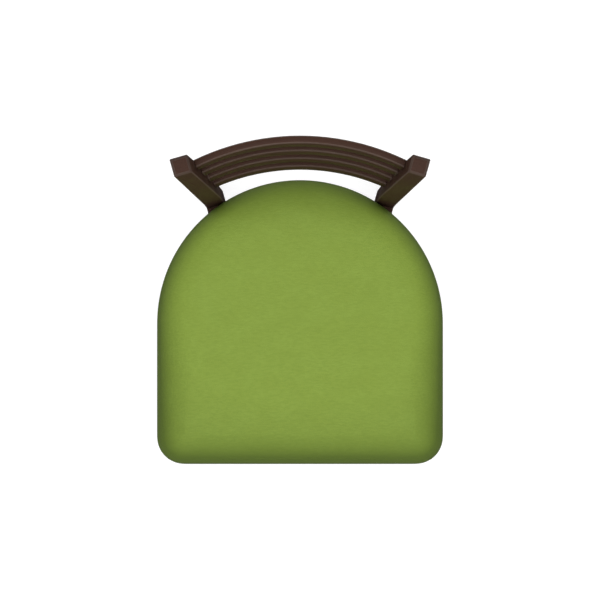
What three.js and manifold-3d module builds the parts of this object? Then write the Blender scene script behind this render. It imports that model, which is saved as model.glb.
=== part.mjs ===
// A ladder-back side chair: a wooden frame with four curved back slats and a padded horseshoe seat.
// Millimetres, +Z up. The origin is on the floor under the middle of the chair, which faces -Y.
// Most pieces are described for one side, with u the distance outward from the middle plane.
import * as THREE from "three";
import { mergeVertices } from "three/addons/utils/BufferGeometryUtils.js";
import Module from "manifold-3d";

const wasm = await Module();
wasm.setup();

// ---- Driving dimensions ------------------------------------------------------------------------

const GAP = 0.3; // kept between pieces that touch
const SIDES = { left: -1, right: 1 }; // as seen by someone who stands in front of the chair

const SEAT = { halfWidth: 217, front: -247.8, arcCentreY: -33.8, cornerRadius: 41 };
const CUSHION = { bottom: 402, widest: 426, top: 474, shoulder: 60, wall: 1.6, flap: 24 };
const BOARD = { thick: 12, inset: 10 }; // its edge lies this far inside the widest outline of the seat

// The sides of the cushion, as [distance inside the widest outline, height, share of the way that
// the ring is also drawn in to the middle]: tucked in below, a quarter of an ellipse above.
const shoulderHeight = (inset) =>
  CUSHION.widest + (CUSHION.top - CUSHION.widest) * Math.sqrt(1 - (1 - inset / CUSHION.shoulder) ** 2);
const CUSHION_SIDE = [
  [8, CUSHION.bottom, 0],
  [5, 406, 0],
  [1.8, 416, 0],
  [0, CUSHION.widest, 0],
  ...[1.5, 5, 11, 20, 29, 38].map((inset) => [inset, shoulderHeight(inset), 0]),
  [38, CUSHION.top, 0.12],
];

const RAIL = { top: 400.6, high: 60, thick: 18 };
const FLOOR_GAP = 4.3; // the legs end here, above their glides

// Back post and rear leg: [height, outward, back, width, depth]. Straight between these heights.
const POST_RINGS = [
  [FLOOR_GAP, 143, 170.6, 24, 24],
  [352, 126.8, 150.2, 28.5, 27],
  [436, 134.3, 160.2, 28.5, 25.6],
  [533, 138.8, 166.1, 30, 28],
  [842, 178.4, 202, 28, 28],
];
const POST_TURN = THREE.MathUtils.degToRad(16); // the front faces look a little towards each other
const POST_BEND = 26; // half the height over which a bend in the post is rounded
const POST_CAP = { high: 8, inset: 4 };
// Under the seat the post grows forward to a shoulder, as high as the rails, that takes their ends.
const POST_SHOULDER = { from: 280, full: 332, forward: 13 };
const EDGE_ROUND = 1.6;
const POST_STOCK = 28; // the section's corners are rounded as on stock of this width

const SLAT = {
  count: 4,
  arcCentreY: -117.5,
  rearRadius: 365.7,
  topHeight: 771,
  pitch: 66,
  lean: THREE.MathUtils.degToRad(9.67),
  thick: 12,
  high: 31,
  round: 2.2,
  tenonTrim: 2.2, // taken off each face to make the tenons
  shoulderShare: 0.97, // how far towards the posts' middles the full section reaches
  tenonShare: 0.998,
};

const FRONT_LEG = {
  top: [176, -211.8, 31],
  foot: [189.5, -230.3, 26],
};

const SIDE_RAIL = { front: [175, -197.8], rear: [123.5, 126], bow: 20 };
const REAR_RAIL = { end: [109.5, 141.8], bow: 20 };
const FRONT_RAIL_Y = -212.8;

const STRETCHER = { height: 150, wide: 14, high: 22, front: [182.5, -211], rear: [131, 150.2] };
const CROSS_STRETCHER_T = 0.42; // how far back along the side stretchers the cross one is set

const TENON = { length: 11, thick: 8, shoulder: 4, round: 1 };
const OVERLONG = 7; // added to each end of a bar before its neighbours are cut from it

// Corner braces, glued and screwed across the inside corners of the seat frame.
const BRACE = { wide: 26, high: 24, top: 399 };
// Where each brace starts on the front or rear rail, and where it stops on the side rail.
const BRACE_ENDS = {
  front: { start: [112, FRONT_RAIL_Y + 4], stop: [172, -139] },
  rear: { start: [60, 151.5], stop: [134, 81] },
};
const SCREW = { radius: 2.1, head: 4.4, headHigh: 2.6, tip: 4, bore: 24 };
const SEAT_SCREW = { long: 34, sunk: 6 }; // sunk is how deep the head lies in the brace
const LEVEL_SCREW = { long: 28, sunk: 3, shares: [0.24, 0.76], down: 8.4 };
const GLIDE = { radius: 10, high: 4, nailRadius: 1.3, nailLong: 16 };
const DUST_COVER = { inset: 19, bottom: 400.9, thick: 0.8 };

// ---- Finishes ----------------------------------------------------------------------------------

const finish = (color, roughness, metalness = 0) => () =>
  new THREE.MeshStandardMaterial({ color, roughness, metalness });
const stainedBeech = finish(0x46322a, 0.45);
const rawBeech = finish(0xc79f6f, 0.75);
const greenVinyl = finish(0x84a044, 0.5);
const plywood = finish(0xcaa777, 0.8);
const foamYellow = finish(0xe8dcaa, 0.95);
const blackCloth = finish(0x17171a, 0.95);
const zincSteel = finish(0xb9bbb8, 0.35, 1);
const blackNylon = finish(0x1b1b1c, 0.5);

// ---- Solids ------------------------------------------------------------------------------------

// Six times the volume that the triangles enclose, below zero where the faces point inwards.
function turnOf(position, index) {
  const [a, b, c] = [new THREE.Vector3(), new THREE.Vector3(), new THREE.Vector3()];
  let sum = 0;
  for (let i = 0; i < index.length; i += 3) {
    a.fromArray(position, 3 * index[i]);
    b.fromArray(position, 3 * index[i + 1]);
    c.fromArray(position, 3 * index[i + 2]);
    sum += a.dot(b.cross(c));
  }
  return sum;
}

function solid(geometry) {
  const bare = geometry.clone();
  bare.deleteAttribute("normal");
  bare.deleteAttribute("uv");
  const merged = mergeVertices(bare, 1e-4);
  const vertProperties = merged.getAttribute("position").array;
  const triVerts = Uint32Array.from(merged.index.array);
  if (turnOf(vertProperties, triVerts) < 0) triVerts.reverse();
  return new wasm.Manifold(new wasm.Mesh({ numProp: 3, vertProperties, triVerts }));
}

function geometryOf(body) {
  const mesh = body.getMesh();
  const points = new Float32Array(mesh.numVert * 3);
  for (let i = 0; i < mesh.numVert; i++) {
    points.set(mesh.vertProperties.subarray(i * mesh.numProp, i * mesh.numProp + 3), i * 3);
  }
  const geometry = new THREE.BufferGeometry();
  geometry.setAttribute("position", new THREE.BufferAttribute(points, 3));
  geometry.setIndex(new THREE.BufferAttribute(mesh.triVerts, 1));
  geometry.computeVertexNormals();
  return geometry;
}

const cut = (body, tools) => tools.reduce((left, tool) => left.subtract(tool), body);

const chair = new THREE.Group();

function addPiece(name, body, material, at = [0, 0, 0]) {
  const mesh = new THREE.Mesh(body.isBufferGeometry ? body : geometryOf(body), material());
  mesh.name = name;
  mesh.position.set(...at);
  chair.add(mesh);
  return mesh;
}

// A closed solid: the section extruded once through every ring, each corner put where place says.
function sweep(section, rings, place) {
  const steps = rings.length - 1;
  const settings = { depth: steps, steps, bevelEnabled: false, curveSegments: 1 };
  const geometry = new THREE.ExtrudeGeometry(section, settings);
  const position = geometry.getAttribute("position");
  for (let i = 0; i < position.count; i++) {
    const ring = rings[Math.round(position.getZ(i))];
    position.setXYZ(i, ...place(position.getX(i), position.getY(i), ring));
  }
  return solid(geometry);
}

// A rectangle about its own middle, with its corners rounded.
function roundedRectangle(width, height, radius) {
  const [x, y] = [width / 2 - radius, height / 2 - radius];
  const shape = new THREE.Shape();
  shape.absarc(x, y, radius, 0, Math.PI / 2);
  shape.absarc(-x, y, radius, Math.PI / 2, Math.PI);
  shape.absarc(-x, -y, radius, Math.PI, 1.5 * Math.PI);
  shape.absarc(x, -y, radius, 1.5 * Math.PI, 2 * Math.PI);
  return shape;
}

const evenly = (count, from, to) =>
  Array.from({ length: count + 1 }, (_, i) => from + ((to - from) * i) / count);

// ---- Back posts --------------------------------------------------------------------------------

// The post's ring at a height, on the straight line between the nearest two of POST_RINGS.
function straightRing(z) {
  const next = POST_RINGS.findIndex((ring, i) => i > 0 && ring[0] >= z);
  const i = next < 0 ? POST_RINGS.length - 1 : next;
  const [low, high] = [POST_RINGS[i - 1], POST_RINGS[i]];
  const t = (z - low[0]) / (high[0] - low[0]);
  return low.map((value, k) => value + t * (high[k] - value));
}

// The same with each bend rounded, as the average over a stretch of the post.
function postRing(z) {
  const near = evenly(8, z - POST_BEND, z + POST_BEND).map(straightRing);
  const [, u, y, width, depth] = near[0].map((_, k) => near.reduce((sum, r) => sum + r[k], 0) / near.length);
  return { z, u, y, width, depth };
}

// A sweep of the turned section through rings. forward is how far a ring's front face comes forward.
function postStretch(side, grow, rings) {
  const [sin, cos] = [Math.sin(POST_TURN), Math.cos(POST_TURN)];
  // The section is drawn one unit wide, so each ring's own width and depth stretch it.
  const section = roundedRectangle(1, 1, EDGE_ROUND / POST_STOCK);
  return sweep(section, rings, (x, y, { z, u, y: middle, width, depth, forward = 0 }) => {
    const out = x * (width + 2 * grow);
    const back = y * (depth + forward + 2 * grow) - forward / 2;
    return [side * (u + out * cos + back * sin), middle - out * sin + back * cos, z];
  });
}

function postSolid(side, grow = 0) {
  const rim = postRing(POST_RINGS.at(-1)[0]);
  const bends = POST_RINGS.slice(1, -1).flatMap(([z]) => evenly(3, z - POST_BEND, z + POST_BEND));
  const shrunk = rim.width - 2 * POST_CAP.inset;
  const cap = { ...rim, z: rim.z + POST_CAP.high, width: shrunk, depth: shrunk };
  const post = postStretch(side, grow, [...[FLOOR_GAP - grow, ...bends].map(postRing), rim, cap]);
  const shoulder = postStretch(side, grow, [
    postRing(POST_SHOULDER.from),
    { ...postRing(POST_SHOULDER.full), forward: POST_SHOULDER.forward },
    { ...postRing(RAIL.top), forward: POST_SHOULDER.forward },
  ]);
  return post.add(shoulder);
}

// ---- Front legs --------------------------------------------------------------------------------

function frontLegAt(z) {
  const t = (z - FLOOR_GAP) / (RAIL.top - FLOOR_GAP);
  const [u, y, width] = FRONT_LEG.foot.map((value, k) => value + t * (FRONT_LEG.top[k] - value));
  return { u, y, z, width };
}

function frontLegSolid(side, grow = 0) {
  const rings = [FLOOR_GAP - grow, RAIL.top + grow].map(frontLegAt);
  return sweep(roundedRectangle(1, 1, EDGE_ROUND / POST_STOCK), rings, (x, y, ring) => {
    const width = ring.width + 2 * grow;
    return [side * (ring.u + x * width), ring.y + y * width, ring.z];
  });
}

// ---- Back slats --------------------------------------------------------------------------------

// One slat's bar, on a cone about a vertical axis behind the sitter. trim takes the same amount off
// each face, to make the tenon, and the bar ends at the given share of the way to the posts' middles.
function slatSolid(index, trim, share) {
  const rearRadius = SLAT.rearRadius - index * SLAT.pitch * Math.tan(SLAT.lean);
  const top = SLAT.topHeight - index * SLAT.pitch;
  const post = postRing(top - SLAT.high / 2);
  const end = share * Math.atan2(post.u, post.y - SLAT.arcCentreY);
  const [sin, cos] = [Math.sin(SLAT.lean), Math.cos(SLAT.lean)];
  const round = trim > 0 ? TENON.round : SLAT.round;
  const section = roundedRectangle(SLAT.thick - 2 * trim, SLAT.high - 2 * trim, round);
  return sweep(section, evenly(26, -end, end), (x, y, angle) => {
    const [back, up] = [x - SLAT.thick / 2, y - SLAT.high / 2];
    const radius = rearRadius + back * cos + up * sin;
    const z = top - back * sin + up * cos;
    return [radius * Math.sin(angle), SLAT.arcCentreY + radius * Math.cos(angle), z];
  });
}

// ---- Rails, stretchers and braces --------------------------------------------------------------

// A bar on a line from one [x, y] to another, bowed sideways by bow at its middle, at one height.
// reach makes both ends that much longer.
function barSolid({ from, to, bow = 0, z, wide, high, reach = 0, round = EDGE_ROUND }) {
  const [start, end] = [new THREE.Vector2(...from), new THREE.Vector2(...to)];
  const line = end.clone().sub(start);
  const long = line.length();
  const across = new THREE.Vector2(line.y, -line.x).normalize();
  const rings = evenly(bow ? 8 : 1, -reach / long, 1 + reach / long);
  return sweep(roundedRectangle(wide, high, round), rings, (x, y, t) => {
    const middle = start.clone().addScaledVector(line, t).addScaledVector(across, 4 * bow * t * (1 - t));
    const heading = line.clone().addScaledVector(across, 4 * bow * (1 - 2 * t)).normalize();
    return [middle.x + x * heading.y, middle.y - x * heading.x, z + y];
  });
}

// The shape of a bar's tenons, lifted by lift, and of the mortises that take them.
function tenonOf(bar, lift, extra = 0) {
  return barSolid({
    ...bar,
    z: bar.z + lift,
    wide: TENON.thick + 2 * extra,
    high: Math.min(bar.high, RAIL.high / 2) - 2 * TENON.shoulder + 2 * extra,
    reach: TENON.length + extra,
    round: TENON.round,
  });
}

// A bar cut back to the pieces that it meets, with tenons at its ends.
function tenonedBar(bar, lift, grownNeighbours) {
  return cut(barSolid({ ...bar, reach: OVERLONG }), grownNeighbours).add(tenonOf(bar, lift));
}

const railMiddle = RAIL.top - RAIL.high / 2;
const [lowTenon, highTenon] = [-RAIL.high / 4, RAIL.high / 4];
const rail = { z: railMiddle, wide: RAIL.thick, high: RAIL.high };
const frontRailEnd = FRONT_LEG.top[0] - FRONT_LEG.top[2] / 2;
const frontRail = { ...rail, from: [-frontRailEnd, FRONT_RAIL_Y], to: [frontRailEnd, FRONT_RAIL_Y] };
const rearRail = {
  ...rail,
  from: [REAR_RAIL.end[0], REAR_RAIL.end[1]],
  to: [-REAR_RAIL.end[0], REAR_RAIL.end[1]],
  bow: REAR_RAIL.bow,
};
const outward = (side, [u, y]) => [side * u, y];
const sideRail = (side) => ({
  ...rail,
  from: outward(side, SIDE_RAIL.front),
  to: outward(side, SIDE_RAIL.rear),
  bow: side * SIDE_RAIL.bow,
});
const sideStretcher = (side) => ({
  from: outward(side, STRETCHER.front),
  to: outward(side, STRETCHER.rear),
  z: STRETCHER.height,
  wide: STRETCHER.wide,
  high: STRETCHER.high,
});
const crossEnd = STRETCHER.front.map((value, k) => value + CROSS_STRETCHER_T * (STRETCHER.rear[k] - value));
const crossStretcher = {
  from: [-crossEnd[0] + STRETCHER.wide / 2, crossEnd[1]],
  to: [crossEnd[0] - STRETCHER.wide / 2, crossEnd[1]],
  z: STRETCHER.height,
  wide: STRETCHER.wide,
  high: STRETCHER.high,
};
const crossTenon = (extra) =>
  barSolid({
    ...crossStretcher,
    wide: TENON.thick + 2 * extra,
    high: STRETCHER.high - 2 * TENON.shoulder + 2 * extra,
    reach: STRETCHER.wide / 2 + extra,
    round: TENON.round,
  });

// ---- Screws ------------------------------------------------------------------------------------

// A pan-head screw pointing up +Z from the underside of its head, and the hole that clears it.
function screwGeometry(long, grow = 0) {
  const [shank, head] = [SCREW.radius + grow, SCREW.head + grow];
  const profile = [
    [0, long + grow],
    [shank * 0.3, long + grow],
    [shank, long - SCREW.tip],
    [shank, 0],
    [head, 0],
    [head, -SCREW.headHigh * 0.4],
    [head * 0.7, -SCREW.headHigh],
    [0, -SCREW.headHigh],
  ];
  return new THREE.LatheGeometry(profile.map(([r, z]) => new THREE.Vector2(r, z)), 10).rotateX(Math.PI / 2);
}

// Turns and moves a geometry made along +Z so that it points along direction from a place.
function aim(geometry, place, direction) {
  const turn = new THREE.Quaternion();
  turn.setFromUnitVectors(new THREE.Vector3(0, 0, 1), new THREE.Vector3(...direction).normalize());
  return geometry.applyQuaternion(turn).translate(...place);
}

// A screw, its hole, and the wider bore that its head is driven in through.
function screwAt(place, direction, long) {
  const bore = new THREE.CylinderGeometry(SCREW.head + 1, SCREW.head + 1, SCREW.bore, 12);
  bore.rotateX(Math.PI / 2).translate(0, 0, -SCREW.bore / 2 - GAP);
  return {
    screw: solid(aim(screwGeometry(long), place, direction)),
    hole: solid(aim(screwGeometry(long, GAP), place, direction)),
    counterbore: solid(aim(bore, place, direction)),
  };
}

// ---- The wooden frame --------------------------------------------------------------------------

const slats = Array.from({ length: SLAT.count }, (_, i) => i);
const slatTenons = slats.map((i) => slatSolid(i, SLAT.tenonTrim, SLAT.tenonShare));
const slatMortises = slats.map((i) => slatSolid(i, SLAT.tenonTrim - GAP, 1));

// Everything cut out of the posts and legs of one side.
function mortises(side) {
  return {
    post: [
      ...slatMortises,
      tenonOf(sideRail(side), lowTenon, GAP),
      tenonOf(rearRail, highTenon, GAP),
      tenonOf(sideStretcher(side), 0, GAP),
    ],
    frontLeg: [
      tenonOf(sideRail(side), lowTenon, GAP),
      tenonOf(frontRail, highTenon, GAP),
      tenonOf(sideStretcher(side), 0, GAP),
    ],
  };
}

function nailHole(place) {
  const radius = GLIDE.nailRadius + GAP;
  const hole = new THREE.CylinderGeometry(radius, radius, 2 * (GLIDE.nailLong + 1), 10);
  return solid(hole.rotateX(Math.PI / 2).translate(...place));
}

const grownPosts = Object.values(SIDES).map((side) => postSolid(side, GAP));
const grownLegs = Object.values(SIDES).map((side) => frontLegSolid(side, GAP));

for (const [name, side] of Object.entries(SIDES)) {
  const foot = postRing(FLOOR_GAP);
  const toe = frontLegAt(FLOOR_GAP);
  const feet = {
    rear: [side * foot.u, foot.y, GLIDE.high],
    front: [side * toe.u, toe.y, GLIDE.high],
  };
  const holes = mortises(side);
  const post = cut(postSolid(side), [...holes.post, nailHole(feet.rear)]);
  addPiece(`back_post_${name}`, post, stainedBeech);
  const leg = cut(frontLegSolid(side), [...holes.frontLeg, nailHole(feet.front)]);
  addPiece(`front_leg_${name}`, leg, stainedBeech);
  for (const [end, place] of Object.entries(feet)) {
    const profile = [
      [0, 0],
      [GLIDE.radius - 1.5, 0],
      [GLIDE.radius, 1.5],
      [GLIDE.radius, GLIDE.high],
      [GLIDE.nailRadius, GLIDE.high],
      [GLIDE.nailRadius, GLIDE.high + GLIDE.nailLong - 3],
      [0, GLIDE.high + GLIDE.nailLong],
    ].map(([r, z]) => new THREE.Vector2(r, z));
    const glide = new THREE.LatheGeometry(profile, 16).rotateX(Math.PI / 2);
    addPiece(`glide_${end}_${name}`, solid(glide), blackNylon, [place[0], place[1], 0]);
  }
}

for (const i of slats) {
  const bar = cut(slatSolid(i, 0, SLAT.shoulderShare), grownPosts);
  addPiece(`back_slat_${i + 1}`, bar.add(slatTenons[i]), stainedBeech);
}

const rails = {
  front_rail: tenonedBar(frontRail, highTenon, grownLegs),
  rear_rail: tenonedBar(rearRail, highTenon, grownPosts),
};
for (const [name, side] of Object.entries(SIDES)) {
  rails[`side_rail_${name}`] = tenonedBar(sideRail(side), lowTenon, [...grownPosts, ...grownLegs]);
}

// ---- Corner braces and screws ------------------------------------------------------------------

const seatScrewHoles = [];
const grown = (bar) =>
  barSolid({ ...bar, wide: bar.wide + 2 * GAP, high: bar.high + 2 * GAP, reach: OVERLONG });

// A brace and its three screws: one straight up into the seat board, one level into each rail.
function addBrace(end, name, side, crossRail) {
  const [start, stop] = [BRACE_ENDS[end].start, BRACE_ENDS[end].stop].map((place) => outward(side, place));
  const size = { wide: BRACE.wide, high: BRACE.high, z: BRACE.top - BRACE.high / 2 };
  const along = ([x, y], t) => [x + t * (stop[0] - x), y + t * (stop[1] - y)];
  const across = new THREE.Vector2(stop[1] - start[1], start[0] - stop[0]).normalize();
  const middle = along(start, 0.5);
  if (across.dot(new THREE.Vector2(...middle)) < 0) across.negate();

  const seatScrewZ = BRACE.top - BRACE.high + SEAT_SCREW.sunk;
  const seatScrew = screwAt([...middle, seatScrewZ], [0, 0, 1], SEAT_SCREW.long);
  const level = LEVEL_SCREW.shares.map((share) => {
    const place = along(start, share).map((value, k) => value - LEVEL_SCREW.sunk * across.getComponent(k));
    const height = BRACE.top - LEVEL_SCREW.down;
    return screwAt([...place, height], [across.x, across.y, 0], LEVEL_SCREW.long);
  });
  const neighbours = [grown(crossRail), grown(sideRail(side)), ...grownPosts, ...grownLegs];
  const holes = [seatScrew, ...level].flatMap(({ hole, counterbore }) => [hole, counterbore]);
  const brace = cut(barSolid({ ...size, from: start, to: stop }), [...neighbours, ...holes]);
  addPiece(`corner_brace_${end}_${name}`, brace, rawBeech);
  addPiece(`seat_screw_${end}_${name}`, seatScrew.screw, zincSteel);
  level.forEach(({ screw }, i) => addPiece(`brace_screw_${end}_${name}_${i + 1}`, screw, zincSteel));

  for (const rail of [`${end}_rail`, `side_rail_${name}`]) {
    rails[rail] = cut(rails[rail], level.map(({ hole }) => hole));
  }
  seatScrewHoles.push(seatScrew.hole);
}

for (const [name, side] of Object.entries(SIDES)) {
  addBrace("front", name, side, frontRail);
  addBrace("rear", name, side, rearRail);
}
for (const [name, body] of Object.entries(rails)) addPiece(name, body, stainedBeech);

// ---- Stretchers --------------------------------------------------------------------------------

for (const [name, side] of Object.entries(SIDES)) {
  const bar = tenonedBar(sideStretcher(side), 0, [...grownPosts, ...grownLegs]);
  addPiece(`side_stretcher_${name}`, bar.subtract(crossTenon(GAP)), stainedBeech);
}
const sideStretchers = Object.values(SIDES).map((side) => grown(sideStretcher(side)));
const crossBar = cut(barSolid({ ...crossStretcher, reach: OVERLONG }), sideStretchers);
addPiece("cross_stretcher", crossBar.add(crossTenon(0)), stainedBeech);

// ---- Seat --------------------------------------------------------------------------------------

// The horseshoe outline: a half circle at the back, straight sides and two rounded front corners.
function horseshoe() {
  const { halfWidth, front, arcCentreY, cornerRadius } = SEAT;
  const [x, y] = [halfWidth - cornerRadius, front + cornerRadius];
  const arc = (cx, cy, radius, from, to, steps) =>
    new THREE.EllipseCurve(cx, cy, radius, radius, from * Math.PI, to * Math.PI).getPoints(steps);
  return new THREE.Shape([
    ...arc(0, arcCentreY, halfWidth, 0, 1, 28),
    ...arc(-x, y, cornerRadius, 1, 1.5, 5),
    ...arc(x, y, cornerRadius, 1.5, 2, 5),
  ]);
}

// A point of that outline moved straight in by inset.
function insetPoint(x, y, inset) {
  const { halfWidth, front, arcCentreY, cornerRadius } = SEAT;
  const middle = new THREE.Vector2(0, arcCentreY);
  const cornerX = halfWidth - cornerRadius;
  const cornerY = front + cornerRadius;
  if (y < arcCentreY) middle.set(THREE.MathUtils.clamp(x, -cornerX, cornerX), Math.max(y, cornerY));
  const arm = new THREE.Vector2(x, y).sub(middle);
  arm.setLength(arm.length() - inset);
  return middle.add(arm);
}

// A slab of the horseshoe outline through rings of [inset, height, share drawn in to the middle].
function seatSolid(rings) {
  return sweep(horseshoe(), rings, (x, y, [inset, z, share = 0]) => {
    const point = insetPoint(x, y, inset).lerp(new THREE.Vector2(0, SEAT.arcCentreY), share);
    return [point.x, point.y, z];
  });
}

const slab = (inset, bottom, top) => seatSolid([[inset, bottom], [inset, top]]);

// The cushion's own form made smaller all round, and cut off flat at a height.
const smallerCushion = (by, bottom) =>
  CUSHION_SIDE.map(([inset, z, share]) => {
    const height = z < CUSHION.widest ? Math.max(z, bottom) : z - by;
    return [inset + by, height, share];
  });

const coverInside = seatSolid(smallerCushion(CUSHION.wall, CUSHION.bottom + CUSHION.wall));
const flapOpening = slab(CUSHION.flap, CUSHION.bottom - 1, CUSHION.bottom + CUSHION.wall + 1);
addPiece("seat_cover", cut(seatSolid(CUSHION_SIDE), [coverInside, flapOpening]), greenVinyl);

const boardBottom = CUSHION.bottom + CUSHION.wall + GAP;
const boardTop = boardBottom + BOARD.thick;
addPiece("seat_board", cut(slab(BOARD.inset + GAP, boardBottom, boardTop), seatScrewHoles), plywood);

const foamSide = smallerCushion(CUSHION.wall + 1, boardTop).filter(([, z]) => z > boardTop + 1);
addPiece("seat_foam", seatSolid([[BOARD.inset, boardTop + GAP, 0], ...foamSide]), foamYellow);

const dustCover = slab(DUST_COVER.inset, DUST_COVER.bottom, DUST_COVER.bottom + DUST_COVER.thick);
addPiece("dust_cover", cut(dustCover, seatScrewHoles), blackCloth);

export default chair;
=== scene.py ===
import math

import bpy
import numpy as np
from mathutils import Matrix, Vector


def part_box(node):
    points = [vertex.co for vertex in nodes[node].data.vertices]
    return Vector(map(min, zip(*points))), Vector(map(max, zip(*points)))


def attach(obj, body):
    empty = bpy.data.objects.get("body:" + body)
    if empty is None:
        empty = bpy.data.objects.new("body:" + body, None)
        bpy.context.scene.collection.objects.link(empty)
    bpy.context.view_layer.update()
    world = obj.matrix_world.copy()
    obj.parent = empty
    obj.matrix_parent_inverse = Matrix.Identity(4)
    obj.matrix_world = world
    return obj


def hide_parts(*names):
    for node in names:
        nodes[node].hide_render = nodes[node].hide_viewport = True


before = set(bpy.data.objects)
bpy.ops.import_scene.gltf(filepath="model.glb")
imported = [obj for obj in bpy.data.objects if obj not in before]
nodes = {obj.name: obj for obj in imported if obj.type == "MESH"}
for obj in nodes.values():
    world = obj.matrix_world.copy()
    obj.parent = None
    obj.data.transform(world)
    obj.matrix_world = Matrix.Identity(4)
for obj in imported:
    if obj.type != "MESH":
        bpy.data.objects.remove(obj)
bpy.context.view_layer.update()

scene = bpy.context.scene

# ---- Studio ------------------------------------------------------------------------------------
# The chair stands on a wide pale floor of lit acrylic, under four soft boxes. It is looked at from
# straight above, from far off through a long lens, so that the posts and legs barely converge.

LENS = 1400.0           # millimetres, as the sensor's width is
SENSOR = 36.0
VIEW_WIDE = 0.909       # metres across the picture at the height of the seat's edge
SEAT_EDGE_Z = 0.434
AIM_Y = 0.0011
SKY_STRENGTH = 0.15
LIGHT_FAR = 9.0
LIGHT_SIZE = 6.2
SOFTBOXES = {           # how far round from the front, how high, both in degrees, and the watts
    "front": (0, 50, 312.0),
    "right": (90, 62, 345.0),
    "rear": (180, 84, 385.0),
    "left": (270, 62, 345.0),
}
FLOOR_WIDE = 60.0
FLOOR_GREY = "AAAAAA"
FLOOR_GLOW = 0.72       # enough to make the floor white together with the light that falls on it


def linear(hex_colour):
    """An sRGB hex colour as the linear red, green, blue and alpha that nodes and lights take."""
    parts = [int(hex_colour[i : i + 2], 16) / 255 for i in (0, 2, 4)]
    return [p / 12.92 if p <= 0.04045 else ((p + 0.055) / 1.055) ** 2.4 for p in parts] + [1.0]


def link(node, links):
    """Links sockets to a node's inputs, which are given by name or number."""
    for key, source in links.items():
        node.id_data.links.new(source, node.inputs[key])


def add_node(material, kind, settings=None, links=None):
    """One shader node, its properties and socket values set, and its sockets linked."""
    node = material.node_tree.nodes.new(kind)
    for key, value in (settings or {}).items():
        if isinstance(key, str) and hasattr(node, key):
            setattr(node, key, value)
        else:
            node.inputs[key].default_value = value
    link(node, links or {})
    return node


def new_material(name, roughness):
    """An empty node material with its output, and a Principled shader linked to it."""
    material = bpy.data.materials.new(name)
    material.use_nodes = True
    material.node_tree.nodes.clear()
    shader = add_node(material, "ShaderNodeBsdfPrincipled", {"Roughness": roughness})
    add_node(material, "ShaderNodeOutputMaterial", links={"Surface": shader.outputs[0]})
    return material, shader


camera_data = bpy.data.cameras.new("camera")
camera_data.lens = LENS
camera_data.sensor_width = SENSOR
camera_data.clip_end = 200      # well past the floor
camera = bpy.data.objects.new("camera", camera_data)
camera.location = (0, AIM_Y, SEAT_EDGE_Z + VIEW_WIDE * LENS / SENSOR)
scene.collection.objects.link(camera)
scene.camera = camera

world = bpy.data.worlds.new("studio")
world.use_nodes = True
sky = world.node_tree.nodes["Background"]
sky.inputs["Color"].default_value = linear("F4F6FA")
sky.inputs["Strength"].default_value = SKY_STRENGTH
scene.world = world
scene.view_settings.view_transform = "Standard"

for name, (round_by, lifted, power) in SOFTBOXES.items():
    turn = math.radians(round_by)
    lift = math.radians(lifted)
    toward = Vector((math.sin(turn) * math.cos(lift), -math.cos(turn) * math.cos(lift), math.sin(lift)))
    light_data = bpy.data.lights.new(f"softbox_{name}", "AREA")
    light_data.size = LIGHT_SIZE
    light_data.energy = power
    light = bpy.data.objects.new(light_data.name, light_data)
    light.location = toward * LIGHT_FAR + Vector((0, 0, SEAT_EDGE_Z))
    light.rotation_euler = toward.to_track_quat("Z", "Y").to_euler()
    light.visible_camera = False
    scene.collection.objects.link(light)

bpy.ops.object.select_all(action="DESELECT")
bpy.ops.mesh.primitive_plane_add(size=FLOOR_WIDE)
floor = bpy.context.object
floor.name = "floor"
# Cast opal acrylic lit from beneath: it glows evenly, and takes only a faint shadow. It is left out
# of reflections, so that it puts no pale rim on the vinyl.
acrylic, shader = new_material("lit_white_acrylic", 0.9)
shader.inputs["Base Color"].default_value = linear(FLOOR_GREY)
shader.inputs["Emission Color"].default_value = linear("FFFFFF")
shader.inputs["Emission Strength"].default_value = FLOOR_GLOW
floor.data.materials.append(acrylic)
floor.visible_glossy = False

# ---- Back posts and front legs -----------------------------------------------------------------
# Square beech stock, sawn to shape, planed, and mortised for the slats, rails and stretchers. Each
# back post is one piece from floor to top. The grain runs along it, and the edges are eased.

MERGED = 0.00002        # points of the node's mesh that are nearer than this are one
FLAT_ANGLE = math.radians(0.4)
EASED_ANGLE = math.radians(25)
EASED_EDGE = 0.0007
SMOOTH_ANGLE = math.radians(32)
NARROW = 0.0034         # a face narrower than this on average lies along an edge
CAP_Z = 0.8425          # the posts' tops are chamfered above this height
EDGE_WEAR_AND_HIGHLIGHT = 0.85           # how far the stain is paled along an edge: sanding wear, and a painted highlight
CLOUDY = 0.22           # how far the large pale clouds in the stain go
STAIN_DARK = "2F1E17"
STAIN_MIDDLE = "36231B"
STAIN_LIGHT = "3D291F"
STAIN_PORE = "1E130E"
STAIN_WEAR_AND_HIGHLIGHT = "4E4039"


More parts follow.
